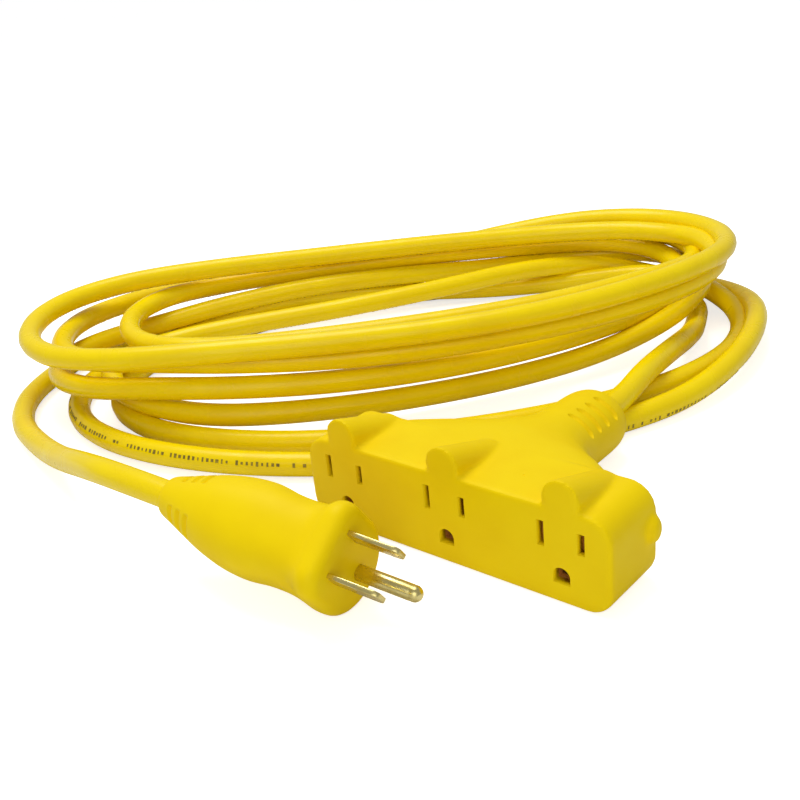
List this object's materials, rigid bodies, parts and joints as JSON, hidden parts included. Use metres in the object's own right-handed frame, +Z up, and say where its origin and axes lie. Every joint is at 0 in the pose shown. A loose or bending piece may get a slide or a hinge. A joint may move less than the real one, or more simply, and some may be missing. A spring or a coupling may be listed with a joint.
{
  "type": "extension cord",
  "caption": "Heavy-duty outdoor extension cord, loosely coiled, with a moulded grounded plug and a moulded multi-outlet tap.",
  "frame": {"origin": "middle of the tap's footprint on the ground", "axes": "+Z up, +X along the tap's bar, outlets face -Y, cord leaves the tap towards +Y"},
  "size_m": [0.326, 0.3237, 0.046],
  "materials": {
    "yellow_moulding": "soft satin vinyl",
    "yellow_jacket": "smooth glossy vinyl",
    "carrier_plastic": "matt moulded",
    "brass": "stamped, bright",
    "copper": "bare strands",
    "tinned_crimp": "tinned",
    "white_insulation": "smooth",
    "black_insulation": "smooth",
    "green_insulation": "smooth"
  },
  "bodies": {
    "root": {"tap_overmould": "yellow_moulding", "tap_carrier": "carrier_plastic", "tap_carrier_cover": "carrier_plastic", "neutral_strip": "brass", "hot_strip": "brass", "ground_strip": "brass", "neutral_contact_left": "brass", "hot_contact_left": "brass", "ground_contact_left": "brass", "neutral_contact_middle": "brass", "hot_contact_middle": "brass", "ground_contact_middle": "brass", "neutral_contact_right": "brass", "hot_contact_right": "brass", "ground_contact_right": "brass", "tap_neutral_crimp": "tinned_crimp", "tap_neutral_copper": "copper", "tap_neutral_wire": "white_insulation", "tap_hot_crimp": "tinned_crimp", "tap_hot_copper": "copper", "tap_hot_wire": "black_insulation", "tap_ground_crimp": "tinned_crimp", "tap_ground_copper": "copper", "tap_ground_wire": "green_insulation", "tap_jacket_end": "yellow_jacket", "cord_tap_lead": "yellow_jacket", "cord_coil": "yellow_jacket", "cord_plug_lead": "yellow_jacket", "plug_jacket_end": "yellow_jacket", "plug_neutral_crimp": "tinned_crimp", "plug_neutral_copper": "copper", "plug_neutral_wire": "white_insulation", "plug_hot_crimp": "tinned_crimp", "plug_hot_copper": "copper", "plug_hot_wire": "black_insulation", "plug_ground_crimp": "tinned_crimp", "plug_ground_copper": "copper", "plug_ground_wire": "green_insulation", "plug_bridge": "carrier_plastic", "neutral_blade": "brass", "hot_blade": "brass", "ground_pin": "brass", "plug_overmould": "yellow_moulding"}
  },
  "joints": []
}
